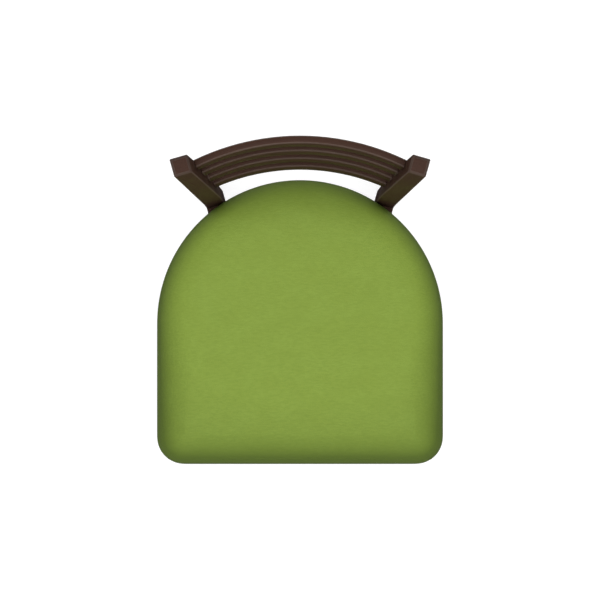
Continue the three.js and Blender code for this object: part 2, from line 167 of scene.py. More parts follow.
def planed(name, material, edge=EASED_EDGE):
    """A wooden piece from its node's shape: whole faces, eased edges and a finish."""
    bpy.ops.object.select_all(action="DESELECT")
    piece = bpy.data.objects.new(f"{name}_planed", nodes[name].data.copy())
    scene.collection.objects.link(piece)
    bpy.context.view_layer.objects.active = piece
    piece.select_set(True)
    bpy.ops.object.mode_set(mode="EDIT")
    bpy.ops.mesh.select_all(action="SELECT")
    bpy.ops.mesh.remove_doubles(threshold=MERGED)
    bpy.ops.mesh.dissolve_limited(angle_limit=FLAT_ANGLE)
    bpy.ops.object.mode_set(mode="OBJECT")
    eased = piece.modifiers.new("eased", "BEVEL")
    eased.width = edge
    eased.segments = 2
    eased.angle_limit = EASED_ANGLE
    bpy.ops.object.modifier_apply(modifier=eased.name)
    bpy.ops.object.shade_smooth_by_angle(angle=SMOOTH_ANGLE)
    # The narrow faces along the edges are marked. The stain is paler there, for sanding wear and as a
    # painted highlight.
    edge_wear_and_highlight = piece.data.attributes.new("edge_wear_and_highlight", "FLOAT", "FACE")
    for face, mark in zip(piece.data.polygons, edge_wear_and_highlight.data):
        corners = [piece.data.vertices[i].co for i in face.vertices]
        longest = max((a - b).length for a, b in zip(corners, corners[1:] + corners[:1]))
        mark.value = EDGE_WEAR_AND_HIGHLIGHT if face.area < NARROW * longest else 0.0
    piece.data.materials.clear()
    piece.data.materials.append(material)
    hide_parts(name)
    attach(piece, "root")
    return piece


def laid_over(material, under, colour, vector, scale, detail=3.0, spread=(0.3, 0.7), most=1.0):
    """Lays a colour over another in a noise pattern. It gives the new colour, and the pattern.

    scale is in repeats to the metre along each axis of the vector. The pattern runs from 0, where the
    noise is at the start of its spread, to most, at the end of it.
    """
    stretch = add_node(material, "ShaderNodeMapping", {"Scale": scale}, {"Vector": vector}).outputs[0]
    noise = add_node(material, "ShaderNodeTexNoise", {"Scale": 1.0, "Detail": detail}, {"Vector": stretch})
    limits = {"From Min": spread[0], "From Max": spread[1], "To Max": most}
    pattern = add_node(material, "ShaderNodeMapRange", limits, {"Value": noise.outputs[0]}).outputs[0]
    mixed = add_node(material, "ShaderNodeMix", {"data_type": "RGBA", 7: linear(colour)}, {0: pattern})
    if isinstance(under, str):
        mixed.inputs[6].default_value = linear(under)
    else:
        link(mixed, {6: under})
    return mixed.outputs[2], pattern


def stained_beech(name, turn=(0, 0, 0), bent_about=None):
    """Beech under a dark walnut stain and satin lacquer: fine even grain with short darker pores.

    turn brings the piece's length onto X. bent_about is the y of the upright axis that the piece is
    bent about, where its grain follows the bend.
    """
    material, shader = new_material(name, 0.5)
    place = add_node(material, "ShaderNodeTexCoord").outputs["Object"]
    if bent_about is None:
        grain = add_node(material, "ShaderNodeMapping", {"Rotation": turn}, {"Vector": place}).outputs[0]
    else:
        middle = {"Location": (0, -bent_about, 0)}
        centred = add_node(material, "ShaderNodeMapping", middle, {"Vector": place}).outputs[0]
        x, y, z = add_node(material, "ShaderNodeSeparateXYZ", links={0: centred}).outputs
        angle = add_node(material, "ShaderNodeMath", {"operation": "ARCTAN2"}, {0: x, 1: y}).outputs[0]
        along = {"operation": "MULTIPLY", 1: 0.35}      # the bend's radius in metres, near enough
        arc = add_node(material, "ShaderNodeMath", along, {0: angle}).outputs[0]
        flat = {"operation": "MULTIPLY", 1: (1, 1, 0)}
        level = add_node(material, "ShaderNodeVectorMath", flat, {0: centred}).outputs[0]
        far = add_node(material, "ShaderNodeVectorMath", {"operation": "LENGTH"}, {0: level})
        bent = {0: arc, 1: far.outputs["Value"], 2: z}
        grain = add_node(material, "ShaderNodeCombineXYZ", links=bent).outputs[0]
    # Growth rings come every 2 mm or so, streaks every 0.7 mm, and pores are 3 mm long and 0.3 wide.
    colour, _ = laid_over(material, STAIN_DARK, STAIN_LIGHT, grain, (7, 500, 500), 2.0)
    colour, streaks = laid_over(material, colour, STAIN_MIDDLE, grain, (22, 1400, 1400), 4.0)
    colour, _ = laid_over(material, colour, STAIN_PORE, grain, (330, 3300, 3300), 1.0, (0.62, 0.72), 0.55)
    # Painted highlight, with sanding wear: the marked edges and chamfers take a paler colour.
    edge = add_node(material, "ShaderNodeAttribute", {"attribute_name": "edge_wear_and_highlight"}).outputs["Fac"]
    pale = {"data_type": "RGBA", 7: linear(STAIN_WEAR_AND_HIGHLIGHT)}
    colour = add_node(material, "ShaderNodeMix", pale, {0: edge, 6: colour}).outputs[2]
    colour, clouds = laid_over(material, colour, STAIN_LIGHT, grain, (9, 30, 30), 2.0, most=CLOUDY)
    satin = {"From Max": CLOUDY, "To Min": 0.5, "To Max": 0.6}
    sheen = add_node(material, "ShaderNodeMapRange", satin, {"Value": clouds}).outputs[0]
    bump = add_node(material, "ShaderNodeBump", {"Strength": 0.25, "Distance": 0.00005}, {"Height": streaks})
    link(shader, {"Base Color": colour, "Roughness": sheen, "Normal": bump.outputs[0]})
    shader.inputs["Specular IOR Level"].default_value = 0.3
    shader.inputs["IOR"].default_value = 1.22
    return material


upright_beech = stained_beech("stained_beech_upright", (0, math.radians(90), 0))
for side in ("left", "right"):
    post = planed(f"back_post_{side}", upright_beech)
    # The chamfers of the posts' tops are marked too, for a painted highlight with sanding wear.
    for face, mark in zip(post.data.polygons, post.data.attributes["edge_wear_and_highlight"].data):
        chamfer = face.center.z > CAP_Z and face.normal.z < 0.9
        if chamfer:
            mark.value = EDGE_WEAR_AND_HIGHLIGHT
    planed(f"front_leg_{side}", upright_beech)

# ---- Back slats --------------------------------------------------------------------------------
# Four beech slats, steam-bent to one curve and tenoned into the posts. They step forward and grow
# shorter downwards, with the lean of the posts.

SLAT_AXIS_Y = -0.1175       # the upright axis that all four are bent about

bent_beech = stained_beech("stained_beech_bent", bent_about=SLAT_AXIS_Y)
for number in range(1, 5):
    planed(f"back_slat_{number}", bent_beech)

# ---- Seat rails --------------------------------------------------------------------------------
# Four beech rails under the seat, tenoned into the legs and posts. The side and rear ones are bowed
# to follow the seat.

cross_beech = stained_beech("stained_beech_cross")
lengthwise_beech = stained_beech("stained_beech_lengthwise", (0, 0, math.radians(90)))
planed("front_rail", cross_beech)
planed("rear_rail", cross_beech)
for side in ("left", "right"):
    planed(f"side_rail_{side}", lengthwise_beech)

# ---- Stretchers --------------------------------------------------------------------------------
# A light H of beech strips between the legs: two from front to back, and one across between them.

for side in ("left", "right"):
    planed(f"side_stretcher_{side}", lengthwise_beech)
planed("cross_stretcher", cross_beech)

# ---- Corner braces -----------------------------------------------------------------------------
# Offcuts of beech, planed and left bare, glued and screwed across the inside corners of the rails.

BARE_GROUND = "B88D5E"
BARE_PALE = "D0A877"
BARE_FLECK = "96693F"

# Planed beech with no finish: pale pinkish tan and dull, with rings 2 mm apart and 3 mm dark flecks.
raw_beech, shader = new_material("raw_beech", 0.72)
place = add_node(raw_beech, "ShaderNodeTexCoord").outputs["Object"]
colour, growth = laid_over(raw_beech, BARE_GROUND, BARE_PALE, place, (60, 500, 500))
colour, _ = laid_over(raw_beech, colour, BARE_FLECK, place, (330, 2600, 2600), 1.0, (0.58, 0.7))
bump = add_node(raw_beech, "ShaderNodeBump", {"Strength": 0.4, "Distance": 0.00008}, {"Height": growth})
link(shader, {"Base Color": colour, "Normal": bump.outputs[0]})

CORNERS = [f"{end}_{side}" for end in ("front", "rear") for side in ("left", "right")]
for corner in CORNERS:
    planed(f"corner_brace_{corner}", raw_beech)

# ---- Screws ------------------------------------------------------------------------------------
# Bright zinc-plated steel pan-head screws with a cross recess: two through each brace into the
# rails, and one up through it into the seat board.

SCREW_SHANK = 0.0021
SCREW_HEAD = 0.0044
SCREW_HEAD_HIGH = 0.0026
SCREW_ROUND = 0.0012        # how far the top edge of the head is rounded
SCREW_LONG = {"seat_screw": 0.034, "brace_screw": 0.028}
THREAD_PITCH = 0.0018
THREAD_LONG = 0.022
THREAD_ROOT = 0.74          # its radius at the root, as a share of the crest's
SCREW_POINT = 0.55          # and at the very tip
RECESS = (0.0046, 0.0009, 0.0026)
ZINC_DULL = "A9ABA6"
ZINC_BRIGHT = "C9CBC6"

# Bright zinc plate: a pale slightly yellow metal, clouded every 1.5 mm by a dull bloom.
zinc, shader = new_material("zinc_plated_steel", 0.3)
shader.inputs["Metallic"].default_value = 1.0
place = add_node(zinc, "ShaderNodeTexCoord").outputs["Object"]
colour, bloom = laid_over(zinc, ZINC_DULL, ZINC_BRIGHT, place, (700, 700, 700))
dull = add_node(zinc, "ShaderNodeMapRange", {"To Min": 0.24, "To Max": 0.42}, {"Value": bloom}).outputs[0]
link(shader, {"Base Color": colour, "Roughness": dull})


def select_only(piece, wanted):
    """Opens a piece in edit mode with just those faces selected whose middle and normal are wanted."""
    bpy.ops.object.mode_set(mode="OBJECT")
    for part in (piece.data.vertices, piece.data.edges):
        part.foreach_set("select", [False] * len(part))
    for face in piece.data.polygons:
        face.select = wanted(face.center, face.normal)
    bpy.ops.object.mode_set(mode="EDIT")
    bpy.ops.mesh.select_mode(type="FACE")


def made_screw(long):
    """One screw, so long from the underside of its head, pointing up from there."""
    bpy.ops.object.select_all(action="DESELECT")
    bpy.ops.mesh.primitive_cylinder_add(
        vertices=20, radius=SCREW_HEAD, depth=SCREW_HEAD_HIGH, location=(0, 0, -SCREW_HEAD_HIGH / 2)
    )
    screw = bpy.context.object
    select_only(screw, lambda middle, normal: normal.z < -0.9)
    bpy.ops.mesh.bevel(offset=SCREW_ROUND, segments=3, affect="EDGES")
    select_only(screw, lambda middle, normal: normal.z > 0.9)
    bpy.ops.mesh.inset(thickness=SCREW_HEAD - SCREW_SHANK)
    bpy.ops.mesh.extrude_region_move(TRANSFORM_OT_translate={"value": (0, 0, long - THREAD_LONG)})
    # The thread is a row of rings: in to the root and back out to the crest, once in each pitch.
    turns = int(THREAD_LONG / THREAD_PITCH)
    for turn in range(turns):
        crest = SCREW_POINT if turn == turns - 1 else 1.0
        for size in (THREAD_ROOT, crest / THREAD_ROOT):
            bpy.ops.mesh.extrude_region_move(TRANSFORM_OT_translate={"value": (0, 0, THREAD_PITCH / 2)})
            bpy.ops.transform.resize(value=(size, size, 1), center_override=(0, 0, 0))
    bpy.ops.object.mode_set(mode="OBJECT")
    cutters = []
    for turn in (0, 90):
        turned = (0, 0, math.radians(turn))
        bpy.ops.mesh.primitive_cube_add(size=1, location=(0, 0, -SCREW_HEAD_HIGH), rotation=turned)
        cutter = bpy.context.object
        cutter.scale = RECESS
        cutters.append(cutter)
    for cutter in cutters:
        bpy.context.view_layer.objects.active = screw
        recess = screw.modifiers.new("recess", "BOOLEAN")
        recess.object = cutter
        recess.operation = "DIFFERENCE"
        bpy.ops.object.modifier_apply(modifier=recess.name)
        bpy.data.objects.remove(cutter)
    bpy.ops.object.select_all(action="DESELECT")
    screw.select_set(True)
    bpy.ops.object.shade_smooth_by_angle(angle=SMOOTH_ANGLE)
    return screw


patterns = {kind: made_screw(long) for kind, long in SCREW_LONG.items()}
screw_names = [f"seat_screw_{corner}" for corner in CORNERS]
screw_names += [f"brace_screw_{corner}_{number}" for corner in CORNERS for number in (1, 2)]
for name in screw_names:
    # A screw's axis is the longest way through its node, and its head is where the node is widest.
    points = np.array([vertex.co for vertex in nodes[name].data.vertices])
    middle = points.mean(axis=0)
    axis = np.linalg.svd(points - middle, full_matrices=False)[2][0]
    along = (points - middle) @ axis
    off_axis = np.linalg.norm(points - middle - np.outer(along, axis), axis=1)
    if along[off_axis.argmax()] > 0:
        axis, along = -axis, -along
    head = middle + axis * (along.min() + SCREW_HEAD_HIGH)
    kind = name[: name.index("_screw") + len("_screw")]
    screw = bpy.data.objects.new(f"{name}_threaded", patterns[kind].data.copy())
    scene.collection.objects.link(screw)
    turned = Vector(axis).to_track_quat("Z", "Y").to_matrix().to_4x4()
    turned.translation = head
    screw.data.transform(turned)
    screw.data.materials.append(zinc)
    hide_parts(name)
    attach(screw, "root")
for pattern in patterns.values():
    bpy.data.objects.remove(pattern)

# ---- Glides ------------------------------------------------------------------------------------
# Moulded black nylon feet with a smooth domed rim, each held by a nail up the middle of the leg.

GLIDE_HIGH = 0.004
GLIDE_ROUND = 0.0016
NAIL_INSET = 0.0087         # from the glide's rim to the nail
NAIL_SHANK = 0.8            # the share of the nail that is straight, before its point
NAIL_POINT = 0.15
NYLON_DARK = "171718"
NYLON_PALE = "212123"

# Nylon from a spark-eroded mould: black with a soft sheen, and a skin pitted every 0.6 mm.
nylon, shader = new_material("moulded_black_nylon", 0.5)
place = add_node(nylon, "ShaderNodeTexCoord").outputs["Object"]
colour, moulding = laid_over(nylon, NYLON_DARK, NYLON_PALE, place, (1600, 1600, 1600), 2.0)
bump = add_node(nylon, "ShaderNodeBump", {"Strength": 0.3, "Distance": 0.00004}, {"Height": moulding})
link(shader, {"Base Color": colour, "Normal": bump.outputs[0]})

for corner in CORNERS:
    low, high = (Vector(end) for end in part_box(f"glide_{corner}"))
    middle = (low + high) / 2
    bpy.ops.object.select_all(action="DESELECT")
    bpy.ops.mesh.primitive_cylinder_add(
        vertices=48,
        radius=(high.x - low.x) / 2,
        depth=GLIDE_HIGH,
        location=(middle.x, middle.y, GLIDE_HIGH / 2),
    )
    glide = bpy.context.object
    bpy.ops.object.transform_apply(location=True, rotation=True, scale=True)
    glide.name = f"glide_{corner}_moulded"
    select_only(glide, lambda middle, normal: normal.z < -0.9)
    bpy.ops.mesh.bevel(offset=GLIDE_ROUND, segments=4, affect="EDGES")
    select_only(glide, lambda middle, normal: normal.z > 0.9)
    bpy.ops.mesh.inset(thickness=NAIL_INSET)
    nail = high.z - GLIDE_HIGH
    for share in (NAIL_SHANK, 1 - NAIL_SHANK):
        bpy.ops.mesh.extrude_region_move(TRANSFORM_OT_translate={"value": (0, 0, nail * share)})
    tip = (middle.x, middle.y, high.z)
    bpy.ops.transform.resize(value=(NAIL_POINT, NAIL_POINT, 1), center_override=tip)
    bpy.ops.object.mode_set(mode="OBJECT")
    bpy.ops.object.shade_smooth_by_angle(angle=SMOOTH_ANGLE)
    glide.data.materials.append(nylon)
    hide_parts(f"glide_{corner}")
    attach(glide, "root")

# ---- Seat board --------------------------------------------------------------------------------
# Twelve millimetres of birch plywood, sawn to the horseshoe. Its edge shows the plies, 1.4 mm each.

PLY = 0.0014
BOARD_EDGE = 0.0004
BIRCH_DARK = "C39B69"
BIRCH_PALE = "D8B585"
BIRCH_END = "96704A"

# Rotary-cut birch: pale and dull, with a broad figure 11 mm across, and browner end-grain plies.
plywood, shader = new_material("sawn_birch_plywood", 0.78)
place = add_node(plywood, "ShaderNodeTexCoord").outputs["Object"]
colour, _ = laid_over(plywood, BIRCH_DARK, BIRCH_PALE, place, (9, 90, 90), 4.0)
height = add_node(plywood, "ShaderNodeSeparateXYZ", links={0: place}).outputs[2]
plies = add_node(plywood, "ShaderNodeMath", {"operation": "PINGPONG", 1: PLY}, {0: height}).outputs[0]
faded = {"From Max": PLY, "To Max": 0.35}
edge = add_node(plywood, "ShaderNodeMapRange", faded, {"Value": plies}).outputs[0]
end_grain = {"data_type": "RGBA", 7: linear(BIRCH_END)}
colour = add_node(plywood, "ShaderNodeMix", end_grain, {0: edge, 6: colour}).outputs[2]
link(shader, {"Base Color": colour})
planed("seat_board", plywood, BOARD_EDGE)

# ---- Seat cover --------------------------------------------------------------------------------
# One piece of green upholstery vinyl, pulled over the foam and board and stapled underneath. The
# foam pushes it up into a crown with a deep round shoulder. It has no seam: the spare vinyl is
# pleated under the edge, round the back and the two front corners.

SEAT = {"half": 0.217, "front": -0.2478, "arc_y": -0.0338, "corner": 0.041}
CORNER_X = SEAT["half"] - SEAT["corner"]
CORNER_Y = SEAT["front"] + SEAT["corner"]
WIDEST_Z = 0.426
SHOULDER = 0.060
SHOULDER_HIGH = 0.049
PATCH_INSET = 0.038     # where the flat middle patch of quads ends and the rings of the side begin
GRID = 50
SLACK = 0.0002          # how far inside its final outline the cover starts, before it is blown up
START_LOW = 0.003       # and how far below its final height
FRAMES = 30             # how long it is blown up for
PRESSURE = 0.6
CROWN = 0.007           # how far the foam may lift the middle
EVENED = 120            # how many times the lift is evened out with what is next to it
VINYL_THICK = 0.0012
VINYL_SMOOTH_ANGLE = math.radians(50)
UNDER_Z = 0.405         # the vinyl is turned under the board below this height
STAPLED_Z = 0.4035      # and held by the staples below this one
SHOULDER_INSETS = (0.031, 0.0245, 0.0185, 0.0132, 0.0088, 0.0052, 0.0026, 0.0009)
SIDE_RINGS = [          # below the shoulder: distance in from the rim, and height
    (0.0003, 0.4215), (0.0012, 0.4165), (0.0026, 0.4115), (0.0042, 0.4070),
    (0.0056, 0.4040), (0.0078, 0.4025), (0.0110, 0.4021), (0.0150, 0.4021),
    (0.0190, 0.4021), (0.0240, 0.4021),
]


def rim_point(section, share):
    """A place on the seat's rim. The sections run round from the front right corner, a quarter each."""
    half_corner = SEAT["corner"] * math.pi / 4
    if section == "back":
        turn = math.radians(135 - 90 * share)
        return Vector((SEAT["half"] * math.cos(turn), SEAT["arc_y"] + SEAT["half"] * math.sin(turn)))
    if section == "front":
        far = share * (2 * CORNER_X + 2 * half_corner) - half_corner - CORNER_X
        over = abs(far) - CORNER_X
        if over <= 0:
            return Vector((far, SEAT["front"]))
        turn = over / SEAT["corner"]
        x = CORNER_X + SEAT["corner"] * math.sin(turn)
        return Vector((math.copysign(x, far), CORNER_Y - SEAT["corner"] * math.cos(turn)))
    straight = SEAT["arc_y"] - CORNER_Y
    far = share * (half_corner + straight + SEAT["half"] * math.pi / 4)
    if far < half_corner:
        turn = far / SEAT["corner"] - math.pi / 4
        place = Vector((CORNER_X, CORNER_Y)) + SEAT["corner"] * Vector((math.cos(turn), math.sin(turn)))
    elif far < half_corner + straight:
        place = Vector((SEAT["half"], CORNER_Y + far - half_corner))
    else:
        turn = (far - half_corner - straight) / SEAT["half"]
        place = Vector((SEAT["half"] * math.cos(turn), SEAT["arc_y"] + SEAT["half"] * math.sin(turn)))
    return place if section == "right" else Vector((-place.x, place.y))


def outward(x, y):
    """The level direction straight out of the seat at a place near its rim."""
    if y >= SEAT["arc_y"]:
        return Vector((x, y - SEAT["arc_y"])).normalized()
    inner_x = max(-CORNER_X, min(CORNER_X, x))
    return Vector((x - inner_x, min(y - CORNER_Y, 0))).normalized()


def depth_inside(x, y):
    """How far a place lies inside the seat's rim."""
    if y >= SEAT["arc_y"]:
        return SEAT["half"] - math.hypot(x, y - SEAT["arc_y"])
    if abs(x) > CORNER_X and y < CORNER_Y:
        return SEAT["corner"] - math.hypot(abs(x) - CORNER_X, y - CORNER_Y)
    return min(SEAT["half"] - abs(x), y - SEAT["front"])


def shoulder_height(depth):
    """The height of the cover at a depth inside the rim: a quarter of an ellipse, then level."""
    share = 1 - min(depth, SHOULDER) / SHOULDER
    return WIDEST_Z + SHOULDER_HIGH * math.sqrt(1 - share * share)


def seat_patch(name, inset):
    """A grid of quads whose border follows the rim, moved in by inset."""

    def border(section, share):
        place = rim_point(section, share)
        return place - inset * outward(*place)

    bpy.ops.object.select_all(action="DESELECT")
    bpy.ops.mesh.primitive_grid_add(x_subdivisions=GRID, y_subdivisions=GRID, size=2)
    patch = bpy.context.object
    patch.name = name
    corners = [border("front", 0), border("front", 1), border("back", 0), border("back", 1)]
    for vertex in patch.data.vertices:
        u, v = (vertex.co.x + 1) / 2, (vertex.co.y + 1) / 2
        place = border("front", u) * (1 - v) + border("back", u) * v
        place += border("left", v) * (1 - u) + border("right", v) * u
        place -= corners[0] * (1 - u) * (1 - v) + corners[1] * u * (1 - v)
        place -= corners[2] * (1 - u) * v + corners[3] * u * v
        vertex.co = (place.x, place.y, 0)
    return patch


def extrude_border(piece, inset_by, height):
    """Extrudes the selected border of a piece, and moves the new ring outward and to a height."""
    bpy.ops.mesh.extrude_edges_move()
    bpy.ops.object.mode_set(mode="OBJECT")
    for vertex in piece.data.vertices:
        if vertex.select:
            place = vertex.co.xy - inset_by * outward(*vertex.co.xy)
            vertex.co = (place.x, place.y, height)
    bpy.ops.object.mode_set(mode="EDIT")


cover = seat_patch("seat_cover_sewn", PATCH_INSET)
for vertex in cover.data.vertices:
    depth = depth_inside(*vertex.co.xy)
    vertex.co.z = shoulder_height(depth) - START_LOW
shoulder_rings = [(inset, shoulder_height(inset) - START_LOW) for inset in SHOULDER_INSETS]
bpy.ops.object.mode_set(mode="EDIT")
bpy.ops.mesh.select_mode(type="EDGE")
bpy.ops.mesh.select_all(action="DESELECT")
bpy.ops.mesh.select_non_manifold()
last = PATCH_INSET
for inset, height in shoulder_rings + [(0, WIDEST_Z)] + SIDE_RINGS:
    started = inset + (SLACK if height > UNDER_Z else 0)
    extrude_border(cover, started - last, height)
    last = started
bpy.ops.mesh.select_all(action="SELECT")
bpy.ops.mesh.normals_make_consistent(inside=False)
bpy.ops.object.mode_set(mode="OBJECT")
up = sum(face.normal.z * face.area for face in cover.data.polygons if face.center.z > WIDEST_Z)
if up < 0:
    cover.data.flip_normals()

# The cover is blown up as a closed bag, held where it is stapled. Its underside is opened again after.
bpy.ops.object.mode_set(mode="EDIT")
bpy.ops.mesh.select_all(action="DESELECT")
bpy.ops.mesh.select_non_manifold()
bpy.ops.mesh.fill()
bpy.ops.object.mode_set(mode="OBJECT")
start = np.array([vertex.co for vertex in cover.data.vertices])
held = cover.vertex_groups.new(name="stapled")
held.add([vertex.index for vertex in cover.data.vertices if vertex.co.z < STAPLED_Z], 1.0, "REPLACE")
cloth = cover.modifiers.new("cloth", "CLOTH")
settings = cloth.settings
settings.vertex_group_mass = held.name
settings.quality = 6
settings.air_damping = 5
settings.mass = 0.35
settings.tension_stiffness = 18
settings.compression_stiffness = 18
settings.shear_stiffness = 8
settings.bending_stiffness = 2
settings.use_pressure = True
settings.uniform_pressure_force = PRESSURE
settings.effector_weights.gravity = 0
cloth.collision_settings.use_collision = False
cloth.point_cache.frame_end = FRAMES
for number in range(1, FRAMES + 1):
    scene.frame_set(number)
bpy.context.view_layer.objects.active = cover
bpy.ops.object.modifier_apply(modifier=cloth.name)
scene.frame_set(1)
moves = np.array([vertex.co for vertex in cover.data.vertices]) - start

# The foam stops the cover from sinking, holds it to the rim's outline, and lets the middle rise only
# so far. What each point moves is then evened out with its neighbours', which leaves a smooth crown.
moves[:, 2] = CROWN * np.tanh(np.maximum(moves[:, 2], 0) / CROWN)
level = np.linalg.norm(moves[:, :2], axis=1)
moves[:, :2] *= np.minimum(1, SLACK / np.maximum(level, 1e-6))[:, None]
edges = np.array([edge.vertices for edge in cover.data.edges])
loose = start[:, 2] > UNDER_Z
for _ in range(EVENED):
    near = np.zeros_like(moves)
    count = np.zeros(len(moves))
    for one, other in ((0, 1), (1, 0)):
        np.add.at(near, edges[:, one], moves[edges[:, other]])
        np.add.at(count, edges[:, one], 1)
    moves[loose] += 0.5 * (near / count[:, None] - moves)[loose]
for vertex, place in zip(cover.data.vertices, start + moves):
    vertex.co = place

bpy.ops.object.select_all(action="DESELECT")
bpy.context.view_layer.objects.active = cover
cover.select_set(True)
flap = SIDE_RINGS[-1][0]
select_only(cover, lambda middle, normal: normal.z < -0.9 and depth_inside(*middle.xy) > flap)
bpy.ops.mesh.delete(type="ONLY_FACE")
bpy.ops.mesh.select_mode(type="EDGE")
bpy.ops.mesh.select_all(action="DESELECT")
bpy.ops.mesh.select_loose()
bpy.ops.mesh.delete(type="EDGE")
bpy.ops.object.mode_set(mode="OBJECT")
finer = cover.modifiers.new("finer", "SUBSURF")
finer.levels = finer.render_levels = 1
bpy.ops.object.modifier_apply(modifier=finer.name)

# Pleats: the spare vinyl is gathered every 22 mm, deepest where the cover turns under the edge.
PLEAT_PITCH = 0.022
PLEAT_DEEP = 0.0014
PLEAT_LIFT = 0.0004         # how far a pleat's fold is drawn up under the board
PLEAT_TOP = 0.420           # pleats are lost above this height, and full 16 mm below it
PLEAT_HIGH = 0.016
PLEAT_RUN = 0.020           # they fade out over this distance towards a straight side
PLEAT_FLAT = (0.010, 0.008) # and from the first distance inside the rim, over the second
CORNER_GATHER = 0.7         # round the front corners their pitch is divided by this
for vertex in cover.data.vertices:
    x, y, z = vertex.co
    curved = y > SEAT["arc_y"] or (abs(x) > CORNER_X and y < CORNER_Y)
    if z > PLEAT_TOP or not curved:
        continue
    if y > SEAT["arc_y"]:
        along = math.atan2(y - SEAT["arc_y"], x) * SEAT["half"]
        end = min(along, math.pi * SEAT["half"] - along)
    else:
        turn = math.atan2(CORNER_Y - y, abs(x) - CORNER_X)
        along = turn * SEAT["corner"] * CORNER_GATHER
        end = min(turn, math.pi / 2 - turn) * SEAT["corner"]
    fade = min(1, end / PLEAT_RUN) * min(1, (PLEAT_TOP - z) / PLEAT_HIGH)
    fade *= max(0, 1 - max(0, depth_inside(x, y) - PLEAT_FLAT[0]) / PLEAT_FLAT[1])
    # Each fold is a narrow crease between broad rounds.
    crease = 1 - abs(math.sin(math.pi * along / PLEAT_PITCH)) ** 0.5
    vertex.co.xy = vertex.co.xy - outward(x, y) * PLEAT_DEEP * fade * crease
    vertex.co.z = z + PLEAT_LIFT * fade * crease

cover_sheet = cover.data.copy()

thick = cover.modifiers.new("thick", "SOLIDIFY")
thick.thickness = VINYL_THICK
thick.offset = -1
bpy.ops.object.modifier_apply(modifier=thick.name)
bpy.ops.object.shade_smooth_by_angle(angle=VINYL_SMOOTH_ANGLE)

VINYL_DEEP = "738733"
VINYL_PALE = "768B37"
VINYL_CREASE_SHADE = "697E2C"
VINYL_GROOVE_SHADE = "4C6124"
VINYL_PAINTED_SHADE = "4C5D20"

# Upholstery vinyl: PVC on a knitted back, embossed with a fine hide grain whose cells are 1.3 to 2.4 mm
# across, and with shallow creases that run across the seat, 10 mm long and 2.5 mm apart. The creases
# are drawn a little coarser than the real ones, so that they show. It has a low, even sheen.
vinyl, shader = new_material("embossed_green_vinyl", 0.66)
place = add_node(vinyl, "ShaderNodeTexCoord").outputs["Object"]
bend = add_node(vinyl, "ShaderNodeTexNoise", {"Scale": 60.0, "Detail": 3.0}, {"Vector": place}).outputs
shift = {"operation": "SCALE", "Scale": 0.006}
offset = add_node(vinyl, "ShaderNodeVectorMath", shift, {0: bend["Color"]}).outputs[0]
warped = add_node(vinyl, "ShaderNodeVectorMath", {"operation": "ADD"}, {0: place, 1: offset}).outputs[0]
stretch = add_node(vinyl, "ShaderNodeMapping", {"Scale": (420, 760, 760)}, {"Vector": warped}).outputs[0]
hide = {"feature": "DISTANCE_TO_EDGE", "Scale": 1.0}
cells = add_node(vinyl, "ShaderNodeTexVoronoi", hide, {"Vector": stretch}).outputs["Distance"]
pebble = add_node(vinyl, "ShaderNodeMapRange", {"From Max": 0.22}, {"Value": cells}).outputs[0]
colour, _ = laid_over(vinyl, VINYL_DEEP, VINYL_PALE, place, (24, 36, 36))
# Painted shade: the sunk creases are coloured a darker green.
colour, creases = laid_over(vinyl, colour, VINYL_CREASE_SHADE, warped, (105, 400, 400), 2.0, (0.64, 0.36), 0.5)
# Painted shade: the sunk grooves between the grain's cells are darker.
groove_shade = add_node(vinyl, "ShaderNodeMapRange", {"To Min": 0.16, "To Max": 0.0}, {"Value": pebble}).outputs[0]
sunk = {"data_type": "RGBA", 7: linear(VINYL_GROOVE_SHADE)}
colour = add_node(vinyl, "ShaderNodeMix", sunk, {0: groove_shade, 6: colour}).outputs[2]
# Painted shade: the vinyl is a shade darker down the sides, beginning a little higher up at the front.
tilted = {"operation": "DOT_PRODUCT", 1: (0, 0.055, 1)}
height = add_node(vinyl, "ShaderNodeVectorMath", tilted, {0: place}).outputs["Value"]
downward = {"From Min": 0.468, "From Max": 0.438, "To Max": 0.95}
side_shade_share = add_node(vinyl, "ShaderNodeMapRange", downward, {"Value": height}).outputs[0]
painted_side_shade = {"data_type": "RGBA", 7: linear(VINYL_PAINTED_SHADE)}
colour = add_node(vinyl, "ShaderNodeMix", painted_side_shade, {0: side_shade_share, 6: colour}).outputs[2]
# The creases are a pattern from 0 to 0.5 that is highest where the vinyl is lowest.
lowered = {"operation": "MULTIPLY_ADD", 1: -1.6}
relief = add_node(vinyl, "ShaderNodeMath", lowered, {0: creases, 2: pebble}).outputs[0]
bump = add_node(vinyl, "ShaderNodeBump", {"Strength": 0.5, "Distance": 0.0002}, {"Height": relief})
link(shader, {"Base Color": colour, "Normal": bump.outputs[0]})
shader.inputs["Specular IOR Level"].default_value = 0.16
cover.data.materials.append(vinyl)
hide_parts("seat_cover")
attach(cover, "root")

# ---- Seat foam ---------------------------------------------------------------------------------
# Open-celled polyurethane foam on the board, cut to the horseshoe. It fills the cover, which has
# crushed its top edge round.

FOAM_GAP = 0.0024           # from the outer face of the vinyl, whose thickness is half of it
FOAM_LIFT = 0.0004          # above the board
FOAM_DEEP = "CDBE86"
FOAM_PALE = "EADFB0"

foam_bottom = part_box("seat_board")[1][2] + FOAM_LIFT
foam = bpy.data.objects.new("seat_foam_cut", cover_sheet)
scene.collection.objects.link(foam)
bpy.ops.object.select_all(action="DESELECT")
bpy.context.view_layer.objects.active = foam
foam.select_set(True)
for vertex in foam.data.vertices:
    vertex.co -= vertex.normal * FOAM_GAP
bpy.ops.object.mode_set(mode="EDIT")
bpy.ops.mesh.select_all(action="SELECT")
bpy.ops.mesh.bisect(plane_co=(0, 0, foam_bottom), plane_no=(0, 0, 1), use_fill=True, clear_inner=True)
bpy.ops.mesh.select_all(action="SELECT")
bpy.ops.mesh.normals_make_consistent(inside=False)
bpy.ops.object.mode_set(mode="OBJECT")
bpy.ops.object.shade_smooth_by_angle(angle=SMOOTH_ANGLE)

